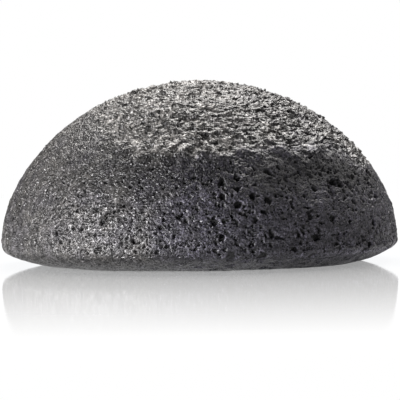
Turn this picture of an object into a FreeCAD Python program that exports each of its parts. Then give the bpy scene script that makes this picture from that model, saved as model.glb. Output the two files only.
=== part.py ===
import FreeCAD, Part
import os
import Sketcher

# A half-ball konjac sponge: one casting of charcoal-grey foam, in four zones. All lengths are in millimetres.
# It stands on its flat foot at z = 0, with its axis on z.

doc = FreeCAD.newDocument("konjac_sponge")

# Driving sizes
sizes = {
    "widest_radius": "40",        # half the width, at the widest line
    "widest_height": "4.3",       # height of the widest line above the foot
    "dome_rise": "32.9",          # height of the dome above the widest line
    "crown_handle_share": "0.53", # how far the crown stays level, as a share of the radius
    "side_handle_share": "0.5",   # how far the side stays upright, as a share of the rise
    "rim_radius": "1.8",          # rounding under the widest line
    "rim_overhang": "13",         # how far the rim reaches out past the flat foot
    "crown_inset": "9",           # from the widest line in to the edge of the crown
    "skin_thickness": "2",        # the dense outer layer of the dome
    "base_thickness": "2",        # the dense layer under the core
    "layer_gap": "0.1",           # between the core and the dome's skin
    "press_gap": "0.3",           # around the crown, so that it slides clear of the side
}
sheet = doc.addObject("Spreadsheet::Sheet", "Sizes")
for row, (alias, number) in enumerate(sizes.items(), start=1):
    sheet.set(f"A{row}", alias)
    sheet.set(f"B{row}", number)
    sheet.setAlias(f"B{row}", alias)
doc.recompute()

# Sizes that follow from the driving ones, as expressions on the sheet
WIDEST = "Sizes.widest_radius"
WIDEST_HEIGHT = "Sizes.widest_height"
RISE = "Sizes.dome_rise"
FOOT = "(Sizes.widest_radius - Sizes.rim_overhang)"
CROWN_REACH = "(Sizes.widest_radius - Sizes.crown_inset)"
SKIN = "Sizes.skin_thickness"
SKIN_AND_GAP = "(Sizes.skin_thickness + Sizes.layer_gap)"
BASE = "Sizes.base_thickness"


def start_of(edge):
    """The point where an edge of a sketch starts, as a constraint names it."""
    return edge, 1


def end_of(edge):
    return edge, 2


def centre_of(edge):
    return edge, 3


ORIGIN = start_of(-1)


def worth(expression):
    """The number that an expression on the sheet gives now."""
    return float(sheet.evalExpression(expression))


def at(across, up):
    """A point of a sketch, from two expressions."""
    return FreeCAD.Vector(worth(across), worth(up), 0)


def half_section(body):
    """An empty sketch on the body's own upright plane, for half of its cross-section."""
    sketch = body.newObject("Sketcher::SketchObject", f"{body.Name}_section")
    for plane in body.Origin.OriginFeatures:
        if plane.Role == "XZ_Plane":
            sketch.AttachmentSupport = [(plane, "")]
    sketch.MapMode = "FlatFace"
    return sketch


def tie(sketch, kind, *ends):
    """A constraint without a size."""
    sketch.addConstraint(Sketcher.Constraint(kind, *ends))


def measure(sketch, kind, ends, expression):
    """A constraint whose size follows an expression on the sheet."""
    number = sketch.addConstraint(Sketcher.Constraint(kind, *ends, worth(expression)))
    sketch.setExpression(f"Constraints[{number}]", expression)


def place(sketch, point, across, up):
    """Fixes a point of the sketch at a distance across from the axis and a height above the foot."""
    if across == "0":
        tie(sketch, "Vertical", *ORIGIN, *point)
    else:
        measure(sketch, "DistanceX", (*ORIGIN, *point), across)
    measure(sketch, "DistanceY", (*ORIGIN, *point), up)


def line(sketch, start, end):
    return sketch.addGeometry(Part.LineSegment(at(*start), at(*end)))


def join(sketch, *runs):
    """Closes a row of edges end to start. Each run is an edge, and whether it is walked backwards."""
    for (edge, back), (following, following_back) in zip(runs, runs[1:] + runs[:1]):
        leaving = start_of(edge) if back else end_of(edge)
        entering = end_of(following) if following_back else start_of(following)
        tie(sketch, "Coincident", *leaving, *entering)


def dome_curve(sketch, inset):
    """The dome's outline from its top out to the widest line, moved in by an inset on every side."""
    radius = f"({WIDEST} - {inset})"
    rise = f"({RISE} - {inset})"
    top = f"({WIDEST_HEIGHT} + {rise})"
    level_run = f"Sizes.crown_handle_share * {radius}"
    upright_run = f"Sizes.side_handle_share * {rise}"
    poles = [
        at("0", top),
        at(level_run, top),
        at(radius, f"{WIDEST_HEIGHT} + {upright_run}"),
        at(radius, WIDEST_HEIGHT),
    ]
    degree = len(poles) - 1
    curve = Part.BSplineCurve()
    curve.buildFromPolesMultsKnots(poles, [degree + 1, degree + 1], [0, 1], False, degree)
    edge = sketch.addGeometry(curve)
    first = sketch.GeometryCount
    sketch.exposeInternalGeometry(edge)
    apex, level, upright, widest = [centre_of(first + n) for n in range(len(poles))]
    place(sketch, apex, "0", top)
    tie(sketch, "Horizontal", *apex, *level)
    measure(sketch, "DistanceX", (*apex, *level), level_run)
    place(sketch, widest, radius, WIDEST_HEIGHT)
    tie(sketch, "Vertical", *upright, *widest)
    measure(sketch, "DistanceY", (*widest, *upright), upright_run)
    return edge


def turn(body, sketch):
    """The body as its half section turned once about the axis."""
    turned = body.newObject("PartDesign::Revolution", f"{body.Name}_turned")
    turned.Profile = sketch
    turned.ReferenceAxis = (sketch, ["V_Axis"])
    turned.Angle = 360
    sketch.Visibility = False


# Underside: a smooth dish with a flat foot and a rolled rim, up to the widest line
base_skin = doc.addObject("PartDesign::Body", "base_skin")
section = half_section(base_skin)
rim_reach = worth("Sizes.rim_overhang - Sizes.rim_radius")
rim_drop = worth(f"{WIDEST_HEIGHT} - Sizes.rim_radius")
rim_radius = worth("Sizes.rim_radius")
rim_centre = at(f"{WIDEST} - Sizes.rim_radius", WIDEST_HEIGHT)
# The underside's arc leaves the foot level and runs smoothly into the rim.
belly_radius = (rim_reach**2 + rim_centre.y**2 - rim_radius**2) / (2 * rim_drop)
belly_centre = FreeCAD.Vector(worth(FOOT), belly_radius, 0)
outward = (rim_centre - belly_centre).normalize()
meeting = belly_centre + outward * belly_radius
belly_middle = FreeCAD.Vector(outward.x, outward.y - 1, 0).normalize()

foot = line(section, ("0", "0"), (FOOT, "0"))
belly = section.addGeometry(
    Part.Arc(at(FOOT, "0"), belly_centre + belly_middle * belly_radius, meeting)
)
rim_middle = FreeCAD.Vector(outward.x + 1, outward.y, 0).normalize()
rim = section.addGeometry(
    Part.Arc(meeting, rim_centre + rim_middle * rim_radius, at(WIDEST, WIDEST_HEIGHT))
)
land = line(section, (WIDEST, WIDEST_HEIGHT), (f"{WIDEST} - {SKIN}", WIDEST_HEIGHT))
slope = line(section, (f"{WIDEST} - {SKIN}", WIDEST_HEIGHT), (FOOT, BASE))
floor = line(section, (FOOT, BASE), ("0", BASE))
axis = line(section, ("0", BASE), ("0", "0"))
tie(section, "Coincident", *start_of(foot), *ORIGIN)
tie(section, "Horizontal", foot)
measure(section, "DistanceX", (*start_of(foot), *end_of(foot)), FOOT)
tie(section, "Tangent", *end_of(foot), *start_of(belly))
tie(section, "Tangent", *end_of(belly), *start_of(rim))
tie(section, "Horizontal", *centre_of(rim), *end_of(rim))
measure(section, "Radius", (rim,), "Sizes.rim_radius")
place(section, end_of(rim), WIDEST, WIDEST_HEIGHT)
tie(section, "Coincident", *end_of(rim), *start_of(land))
tie(section, "Coincident", *end_of(land), *start_of(slope))
tie(section, "Horizontal", land)
measure(section, "DistanceX", (*end_of(land), *start_of(land)), SKIN)
tie(section, "Coincident", *end_of(slope), *start_of(floor))
tie(section, "Vertical", *end_of(foot), *start_of(floor))
tie(section, "Horizontal", floor)
tie(section, "Coincident", *end_of(floor), *start_of(axis))
tie(section, "Coincident", *end_of(axis), *start_of(foot))
tie(section, "Vertical", axis)
measure(section, "DistanceY", (*end_of(axis), *start_of(axis)), BASE)
turn(base_skin, section)

# Core: the open-celled inside, which rests in the dish and fills the dome under its skin
foam_core = doc.addObject("PartDesign::Body", "foam_core")
section = half_section(foam_core)
core_dome = dome_curve(section, SKIN_AND_GAP)
core_edge = f"{WIDEST} - {SKIN_AND_GAP}"
core_top = f"{WIDEST_HEIGHT} + {RISE} - {SKIN_AND_GAP}"
core_slope = line(section, (core_edge, WIDEST_HEIGHT), (FOOT, BASE))
core_floor = line(section, (FOOT, BASE), ("0", BASE))
core_axis = line(section, ("0", BASE), ("0", core_top))
join(section, (core_dome, False), (core_slope, False), (core_floor, False), (core_axis, False))
place(section, start_of(core_floor), FOOT, BASE)
place(section, end_of(core_floor), "0", BASE)
turn(foam_core, section)

# Dome skin: the outer layer of the dome in one piece, before the crown is parted from the side
dome_skin = doc.addObject("PartDesign::Body", "dome_skin")
section = half_section(dome_skin)
outer = dome_curve(section, "0")
inner = dome_curve(section, SKIN)
lower_edge = line(section, (WIDEST, WIDEST_HEIGHT), (f"{WIDEST} - {SKIN}", WIDEST_HEIGHT))
upper_edge = line(
    section, ("0", f"{WIDEST_HEIGHT} + {RISE} - {SKIN}"), ("0", f"{WIDEST_HEIGHT} + {RISE}")
)
join(section, (outer, False), (lower_edge, False), (inner, True), (upper_edge, False))
turn(dome_skin, section)


def upright_cylinder(name, radius):
    """A cutter on the axis that stands well above the dome."""
    cylinder = doc.addObject("Part::Cylinder", name)
    cylinder.setExpression("Radius", radius)
    cylinder.setExpression("Height", f"{WIDEST_HEIGHT} + 2 * {RISE}")
    return cylinder


# Crown: the crinkled cap that a thumb presses straight down
crown_skin = doc.addObject("Part::Common", "crown_skin")
crown_skin.Base = dome_skin
crown_skin.Tool = upright_cylinder("crown_reach", CROWN_REACH)

# Side: the open-pored wall around the crown, down to the widest line
side_skin = doc.addObject("Part::Cut", "side_skin")
side_skin.Base = dome_skin
side_skin.Tool = upright_cylinder("side_opening", f"{CROWN_REACH} + Sizes.press_gap")

doc.recompute()

nodes = [base_skin, foam_core, side_skin, crown_skin]
for thing in doc.Objects:
    if "Invalid" in thing.State or "Error" in thing.State:
        raise RuntimeError(f"{thing.Label} did not build")
os.makedirs("parts", exist_ok=True)
for node in nodes:
    node.Placement = FreeCAD.Placement()
    if node.Shape.isNull() or not node.Shape.isValid():
        raise RuntimeError(f"{node.Label} is not a good solid")
    node.Shape.exportStep(f"parts/{node.Label}.step")
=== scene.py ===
import math
import bpy
from mathutils import Matrix, Vector


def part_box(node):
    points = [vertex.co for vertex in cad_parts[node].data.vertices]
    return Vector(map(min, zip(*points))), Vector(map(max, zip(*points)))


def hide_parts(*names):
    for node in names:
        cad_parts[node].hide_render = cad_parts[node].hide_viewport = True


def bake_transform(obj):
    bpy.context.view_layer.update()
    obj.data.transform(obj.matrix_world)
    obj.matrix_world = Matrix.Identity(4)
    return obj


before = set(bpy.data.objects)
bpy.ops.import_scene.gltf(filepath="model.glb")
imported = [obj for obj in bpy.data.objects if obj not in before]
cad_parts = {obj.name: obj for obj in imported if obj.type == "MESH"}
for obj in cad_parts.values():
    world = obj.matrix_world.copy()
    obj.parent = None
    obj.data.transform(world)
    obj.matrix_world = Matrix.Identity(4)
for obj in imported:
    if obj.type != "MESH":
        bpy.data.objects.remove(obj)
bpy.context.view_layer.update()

# Foam body: one casting of damp konjac foam, tinted with charcoal. It sets in a half-ball mould, so the
# crown, the side and the underside are one skin with no seam. Gas bubbles leave the pits, and freezing
# leaves the grain. The form is turned from its half section, and the foam's relief is laid on it.
MM = 0.001
base_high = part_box("base_skin")[1]
crown_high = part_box("crown_skin")[1]
WIDEST_RADIUS = base_high.x
WIDEST_HEIGHT = base_high.z
TOP_HEIGHT = crown_high.z
DOME_RISE = TOP_HEIGHT - WIDEST_HEIGHT
CROWN_HANDLE_SHARE = 0.53
SIDE_HANDLE_SHARE = 0.5
RIM_RADIUS = 1.8 * MM
RIM_OVERHANG = 13 * MM
FOOT_RADIUS = WIDEST_RADIUS - RIM_OVERHANG
DOME_STEPS = 120
ARC_STEPS = 24


def arc(centre, radius, start, end):
    """Points on an arc of the half section, from one angle to another."""
    turns = [start + (end - start) * step / ARC_STEPS for step in range(1, ARC_STEPS + 1)]
    return [centre + radius * Vector((math.cos(turn), math.sin(turn))) for turn in turns]


def half_section():
    """The sponge's outline from the top of the dome, over the rim and the belly, to the foot's middle."""
    top = Vector((0, TOP_HEIGHT))
    level = Vector((CROWN_HANDLE_SHARE * WIDEST_RADIUS, TOP_HEIGHT))
    upright = Vector((WIDEST_RADIUS, WIDEST_HEIGHT + SIDE_HANDLE_SHARE * DOME_RISE))
    widest = Vector((WIDEST_RADIUS, WIDEST_HEIGHT))
    outline = []
    for step in range(DOME_STEPS + 1):
        done = step / DOME_STEPS
        ahead = 1 - done
        weights = (ahead**3, 3 * ahead * ahead * done, 3 * ahead * done * done, done**3)
        pulls = [weight * pole for weight, pole in zip(weights, (top, level, upright, widest))]
        outline.append(sum(pulls, Vector((0, 0))))
    rim_centre = widest - Vector((RIM_RADIUS, 0))
    reach = rim_centre.x - FOOT_RADIUS
    belly_radius = (reach**2 + WIDEST_HEIGHT**2 - RIM_RADIUS**2) / (2 * (WIDEST_HEIGHT - RIM_RADIUS))
    belly_centre = Vector((FOOT_RADIUS, belly_radius))
    outward = rim_centre - belly_centre
    meeting = math.atan2(outward.y, outward.x)
    outline += arc(rim_centre, RIM_RADIUS, 0, meeting)
    outline += arc(belly_centre, belly_radius, meeting, -math.pi / 2)
    return outline + [Vector((0, 0))]


def add_node(tree, kind, feeds=None, **choices):
    """A node in a tree, with its choices made and its inputs fed by other nodes or by plain values."""
    made = tree.nodes.new(kind)
    for choice, value in choices.items():
        setattr(made, choice, value)
    for name, feed in (feeds or {}).items():
        if isinstance(feed, bpy.types.NodeSocket):
            tree.links.new(feed, made.inputs[name])
        else:
            made.inputs[name].default_value = feed
    return made


def reckon(tree, operation, *terms):
    """A number worked out from one to three others."""
    return add_node(tree, "ShaderNodeMath", dict(enumerate(terms)), operation=operation).outputs[0]


def total(tree, first, *others):
    for other in others:
        first = reckon(tree, "ADD", first, other)
    return first


def product(tree, first, *others):
    for other in others:
        first = reckon(tree, "MULTIPLY", first, other)
    return first


def reckon_vector(tree, operation, *terms):
    feeds = dict(enumerate(terms))
    return add_node(tree, "ShaderNodeVectorMath", feeds, operation=operation).outputs["Vector"]


def scaled(tree, vector, factor):
    feeds = {0: vector, "Scale": factor}
    return add_node(tree, "ShaderNodeVectorMath", feeds, operation="SCALE").outputs["Vector"]


def parts_of(tree, vector):
    return add_node(tree, "ShaderNodeSeparateXYZ", {"Vector": vector}).outputs


def length_of(tree, vector):
    return add_node(tree, "ShaderNodeVectorMath", {0: vector}, operation="LENGTH").outputs["Value"]


def ease(tree, value, start, end, low=0.0, high=1.0):
    """A smooth change from low to high as the value goes from start to end."""
    feeds = {"Value": value, "From Min": start, "From Max": end, "To Min": low, "To Max": high}
    return add_node(tree, "ShaderNodeMapRange", feeds, interpolation_type="SMOOTHSTEP").outputs["Result"]


def between(tree, share, low, high):
    """A smooth change from low to high as the share goes from 0 to 1."""
    return ease(tree, share, 0.0, 1.0, low, high)


def bell(tree, value, centre, width):
    """1 where the value is at the centre, dying away over the width on both sides."""
    off = reckon(tree, "DIVIDE", reckon(tree, "SUBTRACT", value, centre), width)
    return reckon(tree, "EXPONENT", product(tree, off, off, -1.0))


def noise(tree, spot, size, detail=2.0, roughness=0.5, output="Fac"):
    """Soft noise whose waves are about the given size, in millimetres."""
    feeds = {"Vector": spot, "Scale": 1 / size, "Detail": detail, "Roughness": roughness}
    return add_node(tree, "ShaderNodeTexNoise", feeds).outputs[output]


def wave(tree, spot, size, detail=2.0):
    """Soft noise around 0, from about -0.5 to 0.5."""
    return reckon(tree, "SUBTRACT", noise(tree, spot, size, detail), 0.5)


def centred(tree, colour):
    """A random colour as a direction, each part of it from about -0.5 to 0.5."""
    return reckon_vector(tree, "SUBTRACT", colour, (0.5, 0.5, 0.5))


def stirred(tree, spot, size, reach):
    """Each point's place after the foam is stirred, in eddies of one size, by up to the reach."""
    eddies = centred(tree, noise(tree, spot, size, output="Color"))
    return reckon_vector(tree, "ADD", spot, scaled(tree, eddies, 2 * reach))


def cells(tree, spot, size, feature="F1"):
    """Bubble cells about the given size across, in millimetres."""
    feeds = {"Vector": spot, "Scale": reckon(tree, "DIVIDE", 1.0, size)}
    return add_node(tree, "ShaderNodeTexVoronoi", feeds, feature=feature).outputs


def wall_gap(tree, spot, size):
    """The distance to the nearest wall between two cells, in millimetres."""
    return reckon(tree, "MULTIPLY", cells(tree, spot, size, "DISTANCE_TO_EDGE")["Distance"], size)


def facets(tree, spot, size, lean):
    """The height of small flat plates, each leaning its own way, in millimetres."""
    plate = cells(tree, spot, size)
    away = reckon_vector(tree, "SUBTRACT", spot, plate["Position"])
    slope = scaled(tree, centred(tree, plate["Color"]), 2.0)
    feeds = {0: away, 1: slope}
    tilt = add_node(tree, "ShaderNodeVectorMath", feeds, operation="DOT_PRODUCT").outputs["Value"]
    return reckon(tree, "MULTIPLY", tilt, lean)


WALL_TOP = 0.3
WALL_FOOT = 1.4
BURST_SOFTNESS = 0.05
SHALLOWEST = 0.5


def burst_cells(tree, lots, gap, share, wall):
    """A share of the cells, burst open: up to 1 in a cell's floor, and 0 on its walls and elsewhere."""
    inside = ease(tree, gap, wall * WALL_TOP, wall * WALL_FOOT)
    bar = reckon(tree, "SUBTRACT", 1.0, share)
    burst = ease(tree, lots["X"], bar, reckon(tree, "ADD", bar, BURST_SOFTNESS))
    depth = reckon(tree, "MULTIPLY_ADD", lots["Y"], 1 - SHALLOWEST, SHALLOWEST)
    return product(tree, burst, depth, inside)


def open_cells(tree, spot, size, share, wall):
    lots = parts_of(tree, cells(tree, spot, size)["Color"])
    return burst_cells(tree, lots, wall_gap(tree, spot, size), share, wall)


# Lines of the grid along a side of the form, and sizes of the relief in millimetres. A lean is a slope.
GRID_LINES = 341
foam_sizes = {
    "Lump height": 0.65,
    "Knob height": 0.45,
    "Shoulder height": 0.7,
    "Belly sag": 0.35,
    "Lip height": 0.2,
    "Lip undercut": 0.15,
    "Crown sink": 0.4,
    "Crown swell": 0.7,
    "Plate size": 2.9,
    "Plate lean": 0.16,
    "Flake size": 1.4,
    "Flake lean": 0.15,
    "Crease size": 2.6,
    "Crease depth": 0.55,
    "Web height": 0.05,
    "Ring height": 0.14,
    "Fine cell": 0.5,
    "Fine depth": 0.38,
    "Pit cell": 0.82,
    "Pit depth": 0.55,
    "Large pit cell": 1.55,
    "Large pit depth": 1.0,
}
foam = bpy.data.node_groups.new("foam_relief", "GeometryNodeTree")
foam.interface.new_socket("Half section", in_out="INPUT", socket_type="NodeSocketGeometry")
foam.interface.new_socket("Foam", in_out="OUTPUT", socket_type="NodeSocketGeometry")
foam.interface.new_socket("Grid lines", in_out="INPUT", socket_type="NodeSocketInt")
for size_name in foam_sizes:
    foam.interface.new_socket(size_name, in_out="INPUT", socket_type="NodeSocketFloat")
given = foam.nodes.new("NodeGroupInput").outputs

# The plain form: a cube's grid is swelled to a ball, and each point is carried to the half section.
lines = given["Grid lines"]
block = add_node(
    foam, "GeometryNodeMeshCube",
    {"Size": (2, 2, 2), "Vertices X": lines, "Vertices Y": lines, "Vertices Z": lines},
)
block_uv = add_node(
    foam, "GeometryNodeStoreNamedAttribute",
    {"Geometry": block.outputs["Mesh"], "Name": "OFBake", "Value": block.outputs["UV Map"]},
    data_type="FLOAT2", domain="CORNER",
)
place = foam.nodes.new("GeometryNodeInputPosition").outputs["Position"]
heading = reckon_vector(foam, "NORMALIZE", reckon_vector(foam, "TANGENT", scaled(foam, place, math.pi / 4)))
down_share = reckon(foam, "DIVIDE", reckon(foam, "ARCCOSINE", parts_of(foam, heading)["Z"]), math.pi)
section_curve = add_node(foam, "GeometryNodeMeshToCurve", {"Mesh": given["Half section"]}).outputs["Curve"]
section_point = add_node(
    foam, "GeometryNodeSampleCurve", {"Curves": section_curve, "Factor": down_share}, mode="FACTOR"
)
section_part = parts_of(foam, section_point.outputs["Position"])
level_heading = reckon_vector(foam, "NORMALIZE", reckon_vector(foam, "MULTIPLY", heading, (1, 1, 0)))
across = scaled(foam, level_heading, section_part["X"])
upward = add_node(foam, "ShaderNodeCombineXYZ", {"Z": section_part["Z"]}).outputs["Vector"]
turned_form = add_node(
    foam, "GeometryNodeSetPosition",
    {"Geometry": block_uv.outputs["Geometry"], "Position": reckon_vector(foam, "ADD", across, upward)},
).outputs["Geometry"]

# Where each kind of skin lies, in millimetres of the part's frame. A border is where a zone starts and where
# it is full, and the borders wander with a slow noise. A crown shift is two places across the sponge and how
# far the crown's border sinks from one to the other, or rises where it is below zero.
DRIFT_SIZE = 9.0
HEIGHT_DRIFT = 5.0
SIDE_DRIFT = 22.0
RAGGED_SIZE = 1.6
RAGGED_REACH = 5.0
CROWN_BORDER = (20.3, 24.3)
CROWN_SHIFTS = ((4.0, 14.0, -1.2), (25.0, 34.0, 5.0), (-8.0, -28.0, -12.0))
RIGHT_BORDER = (-20.0, 16.0)
RIM_BORDER = (1.8, 3.6)
RIM_DROP_ON_LEFT = 0.9
RIM_KEEPS = 0.3
PITTED_BORDER = (23.5, 18.0)
spot = scaled(foam, place, 1 / MM)
spot_part = parts_of(foam, spot)
side_place = spot_part["X"]
height = spot_part["Z"]
drift = wave(foam, spot, DRIFT_SIZE)
wandering_height = reckon(foam, "MULTIPLY_ADD", drift, HEIGHT_DRIFT, height)
wandering_side = reckon(foam, "MULTIPLY_ADD", drift, SIDE_DRIFT, side_place)
ragged_height = reckon(foam, "MULTIPLY_ADD", wave(foam, spot, RAGGED_SIZE), RAGGED_REACH, wandering_height)
crown_shifts = [ease(foam, side_place, start, end, high=shift) for start, end, shift in CROWN_SHIFTS]
crown = ease(foam, total(foam, ragged_height, *crown_shifts), *CROWN_BORDER)
under_crown = reckon(foam, "SUBTRACT", 1.0, crown)
right = ease(foam, wandering_side, *RIGHT_BORDER)
left = reckon(foam, "SUBTRACT", 1.0, right)
rim_height = reckon(foam, "MULTIPLY_ADD", left, RIM_DROP_ON_LEFT, height)
above_rim = ease(foam, rim_height, *RIM_BORDER, low=RIM_KEEPS)
pitted = ease(foam, wandering_height, *PITTED_BORDER)

# Slow lumps and small knobs of the casting, the shoulder where the crown sank a little as it dried, the belly
# that sags most on the right, the lip of the mould's edge there, and the swells of the crown. A line is the
# height of a form's middle and the width over which it dies away.
LUMP_SIZE = 16.0
KNOB_SIZE = 1.5
SWELL_SIZE = 3.2
SHOULDER_LINE = (23.2, 2.4)
SHOULDER_START = (-20.0, -6.0)
SHOULDER_END = (21.0, 32.0)
SHOULDER_KEEPS = 0.15
SHOULDER_PATCH_SIZE = 3.5
SHOULDER_PATCHES = (0.3, 0.7, 0.3, 1.5)
SAG_SIDE = (0.0, 22.0)
SAG_LEAST = 0.3
SAG_HEIGHT = (3.4, 0.6)
LIP_BORDER = (16.0, 30.0)
LIP_LINE = (4.2, 0.5)
UNDERCUT_LINE = (2.7, 0.8)
TOP_BORDER = (31.5, 36.5)
lumps = wave(foam, spot, LUMP_SIZE, detail=1.0)
knobs = wave(foam, spot, KNOB_SIZE)
swells = wave(foam, spot, SWELL_SIZE, detail=1.0)
shoulder = product(
    foam,
    bell(foam, wandering_height, *SHOULDER_LINE),
    ease(foam, side_place, *SHOULDER_START),
    ease(foam, side_place, *SHOULDER_END, low=1.0, high=SHOULDER_KEEPS),
    ease(foam, noise(foam, spot, SHOULDER_PATCH_SIZE), *SHOULDER_PATCHES),
)
sag = product(foam, ease(foam, side_place, *SAG_SIDE, low=SAG_LEAST), ease(foam, height, *SAG_HEIGHT))
lip_side = ease(foam, wandering_side, *LIP_BORDER)
form_rise = total(
    foam,
    product(foam, lumps, given["Lump height"]),
    product(foam, knobs, given["Knob height"], above_rim),
    product(foam, shoulder, given["Shoulder height"]),
    product(foam, sag, given["Belly sag"]),
    product(foam, bell(foam, height, *LIP_LINE), lip_side, given["Lip height"]),
    product(foam, bell(foam, height, *UNDERCUT_LINE), lip_side, given["Lip undercut"], -1.0),
    product(foam, ease(foam, height, *TOP_BORDER), given["Crown sink"], -1.0),
    product(foam, swells, given["Crown swell"], crown),
)

# Burst cells: a fine grain that is closest on the left, and pits that are largest on the right. A stir is the
# size of the eddies that bend the cells and how far they reach. A share is the part of the cells that burst.
FINE_STIR = (0.9, 0.2)
FINE_SHARES = (0.5, 0.25)
FINE_WALL = 0.1
CROWN_KEEPS = 0.45
PIT_STIR = (1.4, 0.27)
PIT_BORDER = (0.0, 0.8)
PIT_SHARES = (0.13, 0.24)
PIT_WALL = 0.11
LARGE_PIT_BORDER = (0.15, 0.9)
LARGE_PIT_SHARE = 0.21
LARGE_PIT_WALL = 0.15
FAR_RIGHT = (22.0, 32.0)
FAR_RIGHT_KEEPS = 0.7
WEB_EDGE = (0.14, 0.03)


def fine_share(tree, right_mark, crown_mark):
    """The part of the fine cells that burst: most on the left, fewer on the right and on the crown."""
    return product(tree, between(tree, right_mark, *FINE_SHARES), between(tree, crown_mark, 1.0, CROWN_KEEPS))


fine_spot = stirred(foam, spot, *FINE_STIR)
pit_spot = stirred(foam, spot, *PIT_STIR)
fine_open = open_cells(foam, fine_spot, given["Fine cell"], fine_share(foam, right, crown), FINE_WALL)
pit_share = product(foam, ease(foam, right, *PIT_BORDER, *PIT_SHARES), pitted)
pit_open = open_cells(foam, pit_spot, given["Pit cell"], pit_share, PIT_WALL)
large_pit_share = product(
    foam,
    ease(foam, right, *LARGE_PIT_BORDER, high=LARGE_PIT_SHARE),
    between(foam, ease(foam, side_place, *FAR_RIGHT), 1.0, FAR_RIGHT_KEEPS),
    pitted,
)
large_pit_open = open_cells(foam, pit_spot, given["Large pit cell"], large_pit_share, LARGE_PIT_WALL)
burst_drop = total(
    foam,
    product(foam, fine_open, given["Fine depth"]),
    product(foam, pit_open, given["Pit depth"]),
    product(foam, large_pit_open, given["Large pit depth"]),
)
web = ease(foam, wall_gap(foam, fine_spot, given["Fine cell"]), *WEB_EDGE)

# Crinkles of the crown: large and small flakes of the skin that lean their own way, parted by creases. They
# run round the crown, so they are longer across than up and down. They are lower at the right edge.
FLAKE_STRETCH = 1.2
FLAKE_STIR = (2.6, 0.9)
CREASE_EDGE = (0.0, 0.16)
CREASE_HEIGHTS = (-0.3, 0.1)
CALM_EDGE = (20.0, 32.0)
CALM_EDGE_KEEPS = 0.65
axis_gap = length_of(foam, reckon_vector(foam, "MULTIPLY", spot, (1, 1, 0)))
slope_run = reckon(foam, "SUBTRACT", axis_gap, height)
flake_feeds = {"X": side_place, "Y": spot_part["Y"], "Z": product(foam, slope_run, FLAKE_STRETCH)}
slope_spot = add_node(foam, "ShaderNodeCombineXYZ", flake_feeds).outputs["Vector"]
flake_spot = stirred(foam, slope_spot, *FLAKE_STIR)
crease_spot = scaled(foam, flake_spot, reckon(foam, "DIVIDE", 1.0, given["Crease size"]))
crease_gap = reckon(foam, "ABSOLUTE", wave(foam, crease_spot, 1.0))
plate_lot = parts_of(foam, cells(foam, flake_spot, given["Plate size"])["Color"])["X"]
flake_lot = parts_of(foam, cells(foam, flake_spot, given["Flake size"])["Color"])["X"]
flake_mark = reckon(foam, "DIVIDE", total(foam, plate_lot, flake_lot), 2.0)
crinkle = total(
    foam,
    facets(foam, flake_spot, given["Plate size"], given["Plate lean"]),
    facets(foam, flake_spot, given["Flake size"], given["Flake lean"]),
    product(foam, ease(foam, crease_gap, *CREASE_EDGE, *CREASE_HEIGHTS), given["Crease depth"]),
)
calm_edge = ease(foam, side_place, *CALM_EDGE, low=1.0, high=CALM_EDGE_KEEPS)

# Rings: the rims of large bubbles that broke at the mould's wall
RING_SPACING = 4.2
RING_RADIUS = 1.35
RING_WIDTH = 0.16
RING_PATCH_SIZE = 2.2
RING_PATCHES = (0.42, 0.6)
ring_gap = reckon(foam, "MULTIPLY", cells(foam, spot, RING_SPACING)["Distance"], RING_SPACING)
ring_patch = ease(foam, noise(foam, spot, RING_PATCH_SIZE), *RING_PATCHES)
ring = product(foam, bell(foam, ring_gap, RING_RADIUS, RING_WIDTH), ring_patch)

relief = total(
    foam,
    product(foam, crinkle, crown, calm_edge),
    product(foam, web, given["Web height"]),
    product(foam, ring, given["Ring height"]),
    product(foam, burst_drop, -1.0),
)
relief = product(foam, relief, above_rim)

# Marks that the finish reads: the zones and openings from above, the painted shade on the upper flank under
# the crown, and the painted highlight along the lip
PAINTED_SHADE_HEIGHT = (12.0, 20.0)
PAINTED_SHADE_SIDE = (-34.0, -16.0)
# Painted highlight: a light line painted along the lip's edge on the right
LIP_HIGHLIGHT_LINE = (2.9, 0.5)
# Painted shade: the upper flank under the crown is painted darker from this height up, except at the far left
painted_shade_height = ease(foam, wandering_height, *PAINTED_SHADE_HEIGHT)
marks = {
    "pit": product(foam, reckon(foam, "MAXIMUM", pit_open, large_pit_open), above_rim),
    "right": right,
    "crown": crown,
    "flake": flake_mark,
    "painted_shade": product(foam, painted_shade_height, ease(foam, side_place, *PAINTED_SHADE_SIDE), under_crown),
    "lip": product(foam, bell(foam, height, *LIP_HIGHLIGHT_LINE), lip_side),
    "above_rim": above_rim,
}


def keep(geometry, name, value, kind="FLOAT"):
    """Stores a value at each point, for the skin's finish to read."""
    return add_node(
        foam, "GeometryNodeStoreNamedAttribute", {"Geometry": geometry, "Name": name, "Value": value},
        data_type=kind, domain="POINT",
    ).outputs["Geometry"]


marked_form = keep(turned_form, "form_spot", spot, "FLOAT_VECTOR")
for mark_name, mark in marks.items():
    marked_form = keep(marked_form, mark_name, mark)
normal = foam.nodes.new("GeometryNodeInputNormal").outputs["Normal"]
offset = scaled(foam, normal, product(foam, total(foam, relief, form_rise), MM))
foamed = add_node(foam, "GeometryNodeSetPosition", {"Geometry": marked_form, "Offset": offset})
# The foot lies flat on what it stands on.
seated_place = reckon_vector(foam, "MAXIMUM", place, (-1, -1, 0))
seat_feeds = {"Geometry": foamed.outputs["Geometry"], "Position": seated_place}
seated = add_node(foam, "GeometryNodeSetPosition", seat_feeds).outputs["Geometry"]
smooth = add_node(foam, "GeometryNodeSetShadeSmooth", {"Geometry": seated}).outputs["Geometry"]

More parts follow.
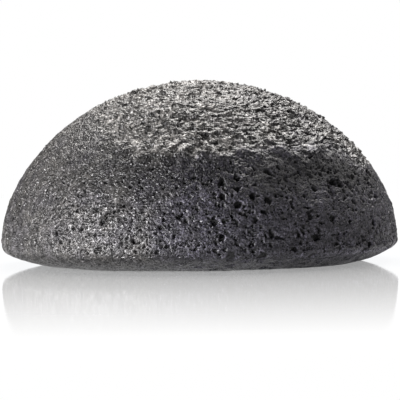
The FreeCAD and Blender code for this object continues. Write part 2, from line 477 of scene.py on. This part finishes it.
# Finish of the foam skin: charcoal grey, ash-grey on the raised webs and near black in the burst cells and
# pits, which is painted shade for their depth. It is damp, so the webs and the small facets between them
# glint.
# Lit and shaded copies of the charcoal: the cool one is darker, painted shade for the right flank
CHARCOAL_LIT_WARM = (0.0272, 0.0261, 0.0247, 1)
CHARCOAL_SHADED_COOL = (0.022, 0.0209, 0.0268, 1)
skin = bpy.data.materials.new("damp_charcoal_foam")
skin.use_nodes = True
skin_nodes = skin.node_tree
skin_nodes.nodes.clear()


def kept(name, output="Fac"):
    return add_node(skin_nodes, "ShaderNodeAttribute", attribute_name=name).outputs[output]


def mix_colour(tree, share, low, high):
    """One colour going over into another as the share goes from 0 to 1."""
    made = tree.nodes.new("ShaderNodeMix")
    made.data_type = "RGBA"
    for name, feed in zip(("Factor_Float", "A_Color", "B_Color"), (share, low, high)):
        socket = next(each for each in made.inputs if each.identifier == name)
        if isinstance(feed, bpy.types.NodeSocket):
            tree.links.new(feed, socket)
        else:
            socket.default_value = feed
    return next(each for each in made.outputs if each.identifier == "Result_Color")


# What the finish reads: the kept marks, the fine cells again, and noise of several sizes. The skin is lively
# on the left, on the crown and at the right edge, and calmer on the right flank.
FINE_CELL = foam_sizes["Fine cell"]
SKIN_WEB_EDGE = (0.15, 0.02)
SPECK_SIZE = 0.36
SPECK_ROUGHNESS = 0.7
CLOUD_SIZE = 5.0
PATCH_SIZE = 1.6
STAIN_SIZE = 2.4
CLOUD_SHIFT = 22.0
CALM_BORDER = (2.0, 40.0)
CALM_LIVELINESS = 0.55
EDGE_BORDER = (36.0, 46.0)
EDGE_LIVELINESS = 0.75
PAINTED_SHADE_RIGHT_BORDER = (0.7, 1.0)
PAINTED_SHADE_RIGHT_HEIGHT = (23.5, 18.5)
form_spot = kept("form_spot", "Vector")
form_part = parts_of(skin_nodes, form_spot)
on_right = kept("right")
on_crown = kept("crown")
flake = kept("flake")
painted_shade = kept("painted_shade")
pit = kept("pit")
grainy = kept("above_rim")
grain_spot = stirred(skin_nodes, form_spot, *FINE_STIR)
cell_lot = parts_of(skin_nodes, cells(skin_nodes, grain_spot, FINE_CELL)["Color"])
cell_gap = wall_gap(skin_nodes, grain_spot, FINE_CELL)
skin_web = ease(skin_nodes, cell_gap, *SKIN_WEB_EDGE)
burst_share = fine_share(skin_nodes, on_right, on_crown)
burst = product(skin_nodes, burst_cells(skin_nodes, cell_lot, cell_gap, burst_share, FINE_WALL), grainy)
speck = noise(skin_nodes, form_spot, SPECK_SIZE, roughness=SPECK_ROUGHNESS)
cloud = noise(skin_nodes, form_spot, CLOUD_SIZE)
patch = noise(skin_nodes, form_spot, PATCH_SIZE)
stain = noise(skin_nodes, form_spot, STAIN_SIZE)
calm_side = reckon(skin_nodes, "MULTIPLY_ADD", cloud, CLOUD_SHIFT, form_part["X"])
flank_lively = ease(skin_nodes, calm_side, *CALM_BORDER, low=1.0, high=CALM_LIVELINESS)
edge_lively = ease(skin_nodes, calm_side, *EDGE_BORDER, high=EDGE_LIVELINESS)
lively = reckon(skin_nodes, "MAXIMUM", reckon(skin_nodes, "MAXIMUM", on_crown, flank_lively), edge_lively)
# Painted shade: the upper right flank is painted darker still and made duller, where the lamps barely reach
painted_shade_right = product(
    skin_nodes,
    painted_shade,
    ease(skin_nodes, on_right, *PAINTED_SHADE_RIGHT_BORDER),
    ease(skin_nodes, form_part["Z"], *PAINTED_SHADE_RIGHT_HEIGHT),
)

# Colour: the charcoal goes from warm on the left and the crown to cool and darker on the right. This is
# painted
# light and painted shade: warm lamps light the left and the crown, and only a dim cool fill reaches the
# right.
# Each cell, web and speck has its shade, a factor on that colour. A dark or light pair is for the flank and
# for the crown. The rim and the edge of a pit are told by how open it is, from 0 to 1.
SHADED_COOL_BORDER = (0.3, 1.1)
PATCH_BORDER = (0.38, 0.62)
SPECK_BORDER = (0.3, 0.7)
SPECK_DARK = (0.15, 0.5)
SPECK_LIGHT_AND_GLINT = (2.1, 1.5)
FLAKE_BORDER = (0.2, 0.8)
FLAKE_DARK = (1.0, 0.6)
FLAKE_LIGHT = (1.0, 2.2)
STAIN_BORDER = (0.35, 0.65)
STAIN_DARK = (1.0, 0.45)
STAIN_LIGHT = (1.0, 1.7)
CELL_SHADES = (0.6, 1.4)
LIP_PAINTED_HIGHLIGHT = 2.4
PAINTED_SHADE_FACTOR = 0.37
PAINTED_SHADE_RIGHT_FACTOR = 0.7
WEB_ASH_AND_GLINT = 3.0
BURST_EDGE = (0.0, 0.7)
BURST_PAINTED_SHADE = 0.1
PIT_RIM = (0.2, 0.12)
PIT_RIM_SHADE = 1.7
PIT_EDGE = (0.1, 0.6)
PIT_PAINTED_SHADE = 0.03


def zoned(value, border, dark, light):
    """A shade that follows a value from dark to light, each of them a pair for the flank and the crown."""
    dark_here = between(skin_nodes, on_crown, *dark)
    light_here = between(skin_nodes, on_crown, *light)
    return ease(skin_nodes, value, *border, dark_here, light_here)


shaded_cool_side = reckon(skin_nodes, "SUBTRACT", total(skin_nodes, on_right, cloud), on_crown)
charcoal = mix_colour(skin_nodes, ease(skin_nodes, shaded_cool_side, *SHADED_COOL_BORDER), CHARCOAL_LIT_WARM, CHARCOAL_SHADED_COOL)
# Lit webs: ash-grey walls, lightened further in patches as painted glints
lit_web = product(skin_nodes, skin_web, ease(skin_nodes, patch, *PATCH_BORDER), lively)
shade = product(
    skin_nodes,
    # the lightest specks are partly painted glints
    zoned(speck, SPECK_BORDER, SPECK_DARK, SPECK_LIGHT_AND_GLINT),
    zoned(flake, FLAKE_BORDER, FLAKE_DARK, FLAKE_LIGHT),
    zoned(stain, STAIN_BORDER, STAIN_DARK, STAIN_LIGHT),
    # painted highlight along the lip's edge
    between(skin_nodes, kept("lip"), 1.0, LIP_PAINTED_HIGHLIGHT),
    between(skin_nodes, painted_shade, 1.0, PAINTED_SHADE_FACTOR),
    between(skin_nodes, painted_shade_right, 1.0, PAINTED_SHADE_RIGHT_FACTOR),
    between(skin_nodes, cell_lot["Z"], *CELL_SHADES),
    between(skin_nodes, lit_web, 1.0, WEB_ASH_AND_GLINT),
    # painted shade: burst cells and pits near black for their depth
    ease(skin_nodes, burst, *BURST_EDGE, low=1.0, high=BURST_PAINTED_SHADE),
    between(skin_nodes, bell(skin_nodes, pit, *PIT_RIM), 1.0, PIT_RIM_SHADE),
    ease(skin_nodes, pit, *PIT_EDGE, low=1.0, high=PIT_PAINTED_SHADE),
)

# Gloss and the finest relief, in millimetres
FLAKE_WET_BORDER = (0.3, 0.8)
PAINTED_SHADE_RIGHT_WETNESS = 0.45
DRY_ROUGHNESS = 0.85
WET_ROUGHNESS = 0.24
FACET_LEAN = 0.13
SKIN_WEB_HEIGHT = 0.03
GRAIN_SIZE = 0.6
GRAIN_HEIGHT = 0.1
SKIN_IOR = 1.5
grain_wetness = product(skin_nodes, reckon(skin_nodes, "MAXIMUM", skin_web, cell_lot["Z"]), lively)
flake_wetness = product(skin_nodes, ease(skin_nodes, flake, *FLAKE_WET_BORDER), on_crown)
wetness = product(
    skin_nodes,
    reckon(skin_nodes, "MAXIMUM", grain_wetness, flake_wetness),
    between(skin_nodes, painted_shade_right, 1.0, PAINTED_SHADE_RIGHT_WETNESS),
)
grain = total(
    skin_nodes,
    facets(skin_nodes, grain_spot, FINE_CELL, FACET_LEAN),
    product(skin_nodes, skin_web, SKIN_WEB_HEIGHT),
    product(skin_nodes, noise(skin_nodes, form_spot, GRAIN_SIZE, detail=1.0), GRAIN_HEIGHT),
)
bump_feeds = {"Strength": 1.0, "Distance": MM, "Height": product(skin_nodes, grain, grainy)}
skin_feeds = {
    "Base Color": scaled(skin_nodes, charcoal, shade),
    "Roughness": between(skin_nodes, wetness, DRY_ROUGHNESS, WET_ROUGHNESS),
    "IOR": SKIN_IOR,
    "Normal": add_node(skin_nodes, "ShaderNodeBump", bump_feeds).outputs["Normal"],
}
skin_shader = add_node(skin_nodes, "ShaderNodeBsdfPrincipled", skin_feeds).outputs["BSDF"]
add_node(skin_nodes, "ShaderNodeOutputMaterial", {"Surface": skin_shader})

whole = add_node(foam, "GeometryNodeRealizeInstances", {"Geometry": smooth}).outputs["Geometry"]
dressed = add_node(foam, "GeometryNodeSetMaterial", {"Geometry": whole, "Material": skin}).outputs["Geometry"]
add_node(foam, "NodeGroupOutput", {"Foam": dressed})

# The sponge as one mesh: the relief is run once on the half section, and the result is kept.
outline = half_section()
section_mesh = bpy.data.meshes.new("half_section")
section_mesh.from_pydata(
    [(point.x, 0, point.y) for point in outline], [(n, n + 1) for n in range(len(outline) - 1)], []
)
section_piece = bpy.data.objects.new("half_section", section_mesh)
bpy.context.scene.collection.objects.link(section_piece)
relief_modifier = section_piece.modifiers.new("foam_relief", "NODES")
relief_modifier.node_group = foam
settings = {"Grid lines": GRID_LINES, **foam_sizes}
for item in foam.interface.items_tree:
    if item.in_out == "INPUT" and item.name in settings:
        relief_modifier[item.identifier] = settings[item.name]
depsgraph = bpy.context.evaluated_depsgraph_get()
foam_mesh = bpy.data.meshes.new_from_object(section_piece.evaluated_get(depsgraph))
foam_mesh.name = "sponge"
sponge = bpy.data.objects.new("sponge", foam_mesh)
bpy.context.scene.collection.objects.link(sponge)
bpy.data.objects.remove(section_piece)
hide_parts("base_skin", "foam_core", "side_skin", "crown_skin")
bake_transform(sponge)

# Floor: a sheet of glossy white acrylic, lit so that the camera sees it as a nearly even white. The fine
# ripple of its polish blurs the mirror image of the sponge, which fades with distance. Near the sponge a
# little of its shadow shows.
FLOOR_HALF = 6.0
FLOOR_WHITE = (0.66, 0.66, 0.66, 1)
FLOOR_IOR = 1.45
MIRROR_TINT = (0.975, 0.985, 1, 1)
MIRROR_REACH = {"From Min": 0.02, "From Max": 0.195, "To Min": 1.0, "To Max": 0.0}
GLOW_REACH = (0.05, 0.35)
GLOW_NEAR = 0.85
GLOSSY_GLOW = 0.6
RIPPLE_SIZE = 0.5
RIPPLE_HEIGHT = 0.004 * MM


def mix_shader(tree, share, low, high):
    """One shader going over into another as the share goes from 0 to 1."""
    return add_node(tree, "ShaderNodeMixShader", {0: share, 1: low, 2: high}).outputs["Shader"]


floor_mesh = bpy.data.meshes.new("floor")
floor_corners = [(-1, -1), (1, -1), (1, 1), (-1, 1)]
floor_mesh.from_pydata([(x * FLOOR_HALF, y * FLOOR_HALF, 0) for x, y in floor_corners], [], [(0, 1, 2, 3)])
floor = bpy.data.objects.new("floor", floor_mesh)
bpy.context.scene.collection.objects.link(floor)
acrylic = bpy.data.materials.new("white_acrylic")
acrylic.use_nodes = True
acrylic_nodes = acrylic.node_tree
acrylic_nodes.nodes.clear()
floor_place = add_node(acrylic_nodes, "ShaderNodeTexCoord").outputs["Object"]
floor_reach = length_of(acrylic_nodes, floor_place)
white = add_node(acrylic_nodes, "ShaderNodeBsdfDiffuse", {"Color": FLOOR_WHITE}).outputs["BSDF"]
glow_feeds = {"Color": (1, 1, 1, 1), "Strength": 1.0}
glow = add_node(acrylic_nodes, "ShaderNodeEmission", glow_feeds).outputs["Emission"]
light_path = add_node(acrylic_nodes, "ShaderNodeLightPath").outputs
well_seen = reckon(acrylic_nodes, "MAXIMUM", light_path["Is Camera Ray"], light_path["Is Singular Ray"])
half_seen = reckon(acrylic_nodes, "MULTIPLY", light_path["Is Glossy Ray"], GLOSSY_GLOW)
seen = reckon(acrylic_nodes, "MAXIMUM", well_seen, half_seen)
glow_share = product(acrylic_nodes, seen, ease(acrylic_nodes, floor_reach, *GLOW_REACH, low=GLOW_NEAR))
sheet = mix_shader(acrylic_nodes, glow_share, white, glow)
ripple = noise(acrylic_nodes, scaled(acrylic_nodes, floor_place, 1 / MM), RIPPLE_SIZE)
ripple_feeds = {"Strength": 1.0, "Distance": RIPPLE_HEIGHT, "Height": ripple}
mirror_feeds = {
    "Color": MIRROR_TINT,
    "Roughness": 0.0,
    "Normal": add_node(acrylic_nodes, "ShaderNodeBump", ripple_feeds).outputs["Normal"],
}
mirror = add_node(acrylic_nodes, "ShaderNodeBsdfGlossy", mirror_feeds).outputs["BSDF"]
gloss = add_node(acrylic_nodes, "ShaderNodeFresnel", {"IOR": FLOOR_IOR}).outputs["Fac"]
near_feeds = {"Value": floor_reach, **MIRROR_REACH}
near = add_node(acrylic_nodes, "ShaderNodeMapRange", near_feeds).outputs["Result"]
floor_shader = mix_shader(acrylic_nodes, product(acrylic_nodes, gloss, near), sheet, mirror)
add_node(acrylic_nodes, "ShaderNodeOutputMaterial", {"Surface": floor_shader})
floor_mesh.materials.append(acrylic)

# Studio light: a broad soft box above and behind, a low one on the left, a weak one behind on the right and a
# low card in front. The room adds next to no light, and only the camera and the mirror see it as white.
LAMP_DISTANCE = 0.8


def soft_box(name, azimuth, elevation, width, depth, power, colour):
    """A soft box that faces the sponge. Azimuth 0 is in front, and 90 is on the right."""
    lamp = bpy.data.lights.new(name, "AREA")
    lamp.shape = "RECTANGLE"
    lamp.size = width
    lamp.size_y = depth
    lamp.energy = power
    lamp.color = colour
    box = bpy.data.objects.new(name, lamp)
    bpy.context.scene.collection.objects.link(box)
    turn = math.radians(azimuth)
    lift = math.radians(elevation)
    toward = Vector((math.sin(turn) * math.cos(lift), -math.cos(turn) * math.cos(lift), math.sin(lift)))
    middle = Vector((0, 0, TOP_HEIGHT / 2))
    turned = toward.to_track_quat("Z", "Y").to_matrix().to_4x4()
    box.matrix_world = Matrix.Translation(middle + toward * LAMP_DISTANCE) @ turned
    box.visible_camera = False


soft_box("top_back_box", 168, 59, width=0.9, depth=0.45, power=15.5, colour=(1.0, 0.97, 0.94))
soft_box("left_box", -64, 11, width=0.35, depth=0.2, power=9.7, colour=(1.0, 0.98, 0.99))
soft_box("right_back_box", 130, 48, width=0.4, depth=0.3, power=1.0, colour=(0.96, 0.96, 1.0))
soft_box("front_card", -32, 3, width=0.4, depth=0.2, power=2.8, colour=(0.96, 0.95, 1.0))

FILL = 0.01
BACKDROP = 0.06
BACKDROP_BORDER = (0.0, 0.6)
ROOM_TINT = (0.93, 0.94, 1, 1)
studio = bpy.data.worlds.new("studio")
studio.use_nodes = True
studio_nodes = studio.node_tree
studio_nodes.nodes.clear()
room_path = add_node(studio_nodes, "ShaderNodeLightPath").outputs
room_seen = reckon(studio_nodes, "MAXIMUM", room_path["Is Camera Ray"], room_path["Is Singular Ray"])
room_way = parts_of(studio_nodes, add_node(studio_nodes, "ShaderNodeTexCoord").outputs["Generated"])["Y"]
room_level = ease(studio_nodes, room_way, *BACKDROP_BORDER, low=FILL, high=BACKDROP)
fill_feeds = {"Color": ROOM_TINT, "Strength": room_level}
room_fill = add_node(studio_nodes, "ShaderNodeBackground", fill_feeds).outputs["Background"]
white_feeds = {"Color": (1, 1, 1, 1), "Strength": 1.0}
room_white = add_node(studio_nodes, "ShaderNodeBackground", white_feeds).outputs["Background"]
room = mix_shader(studio_nodes, room_seen, room_fill, room_white)
add_node(studio_nodes, "ShaderNodeOutputWorld", {"Surface": room})
bpy.context.scene.world = studio

# Camera: a long lens just above the floor, straight in front of the sponge. It looks down by 2.4 degrees and
# is rolled by 0.9 degrees, as in the photograph.
CAMERA_DISTANCE = 0.8
CAMERA_PITCH = math.radians(2.41)
CAMERA_ROLL = math.radians(0.885)
FRAME_WIDTH = 81.22 * MM
AIM = Vector((0.18 * MM, 0, 12.71 * MM))
lens = bpy.data.cameras.new("camera")
lens.sensor_width = 36
lens.lens = lens.sensor_width * CAMERA_DISTANCE / FRAME_WIDTH
lens.clip_start = 0.01
lens.clip_end = 50
camera = bpy.data.objects.new("camera", lens)
bpy.context.scene.collection.objects.link(camera)
backward = Vector((0, -math.cos(CAMERA_PITCH), math.sin(CAMERA_PITCH)))
facing = backward.to_track_quat("Z", "Y").to_matrix().to_4x4()
standing = Matrix.Translation(AIM + backward * CAMERA_DISTANCE)
camera.matrix_world = standing @ facing @ Matrix.Rotation(-CAMERA_ROLL, 4, "Z")
bpy.context.scene.camera = camera
bpy.context.scene.view_settings.view_transform = "Standard"
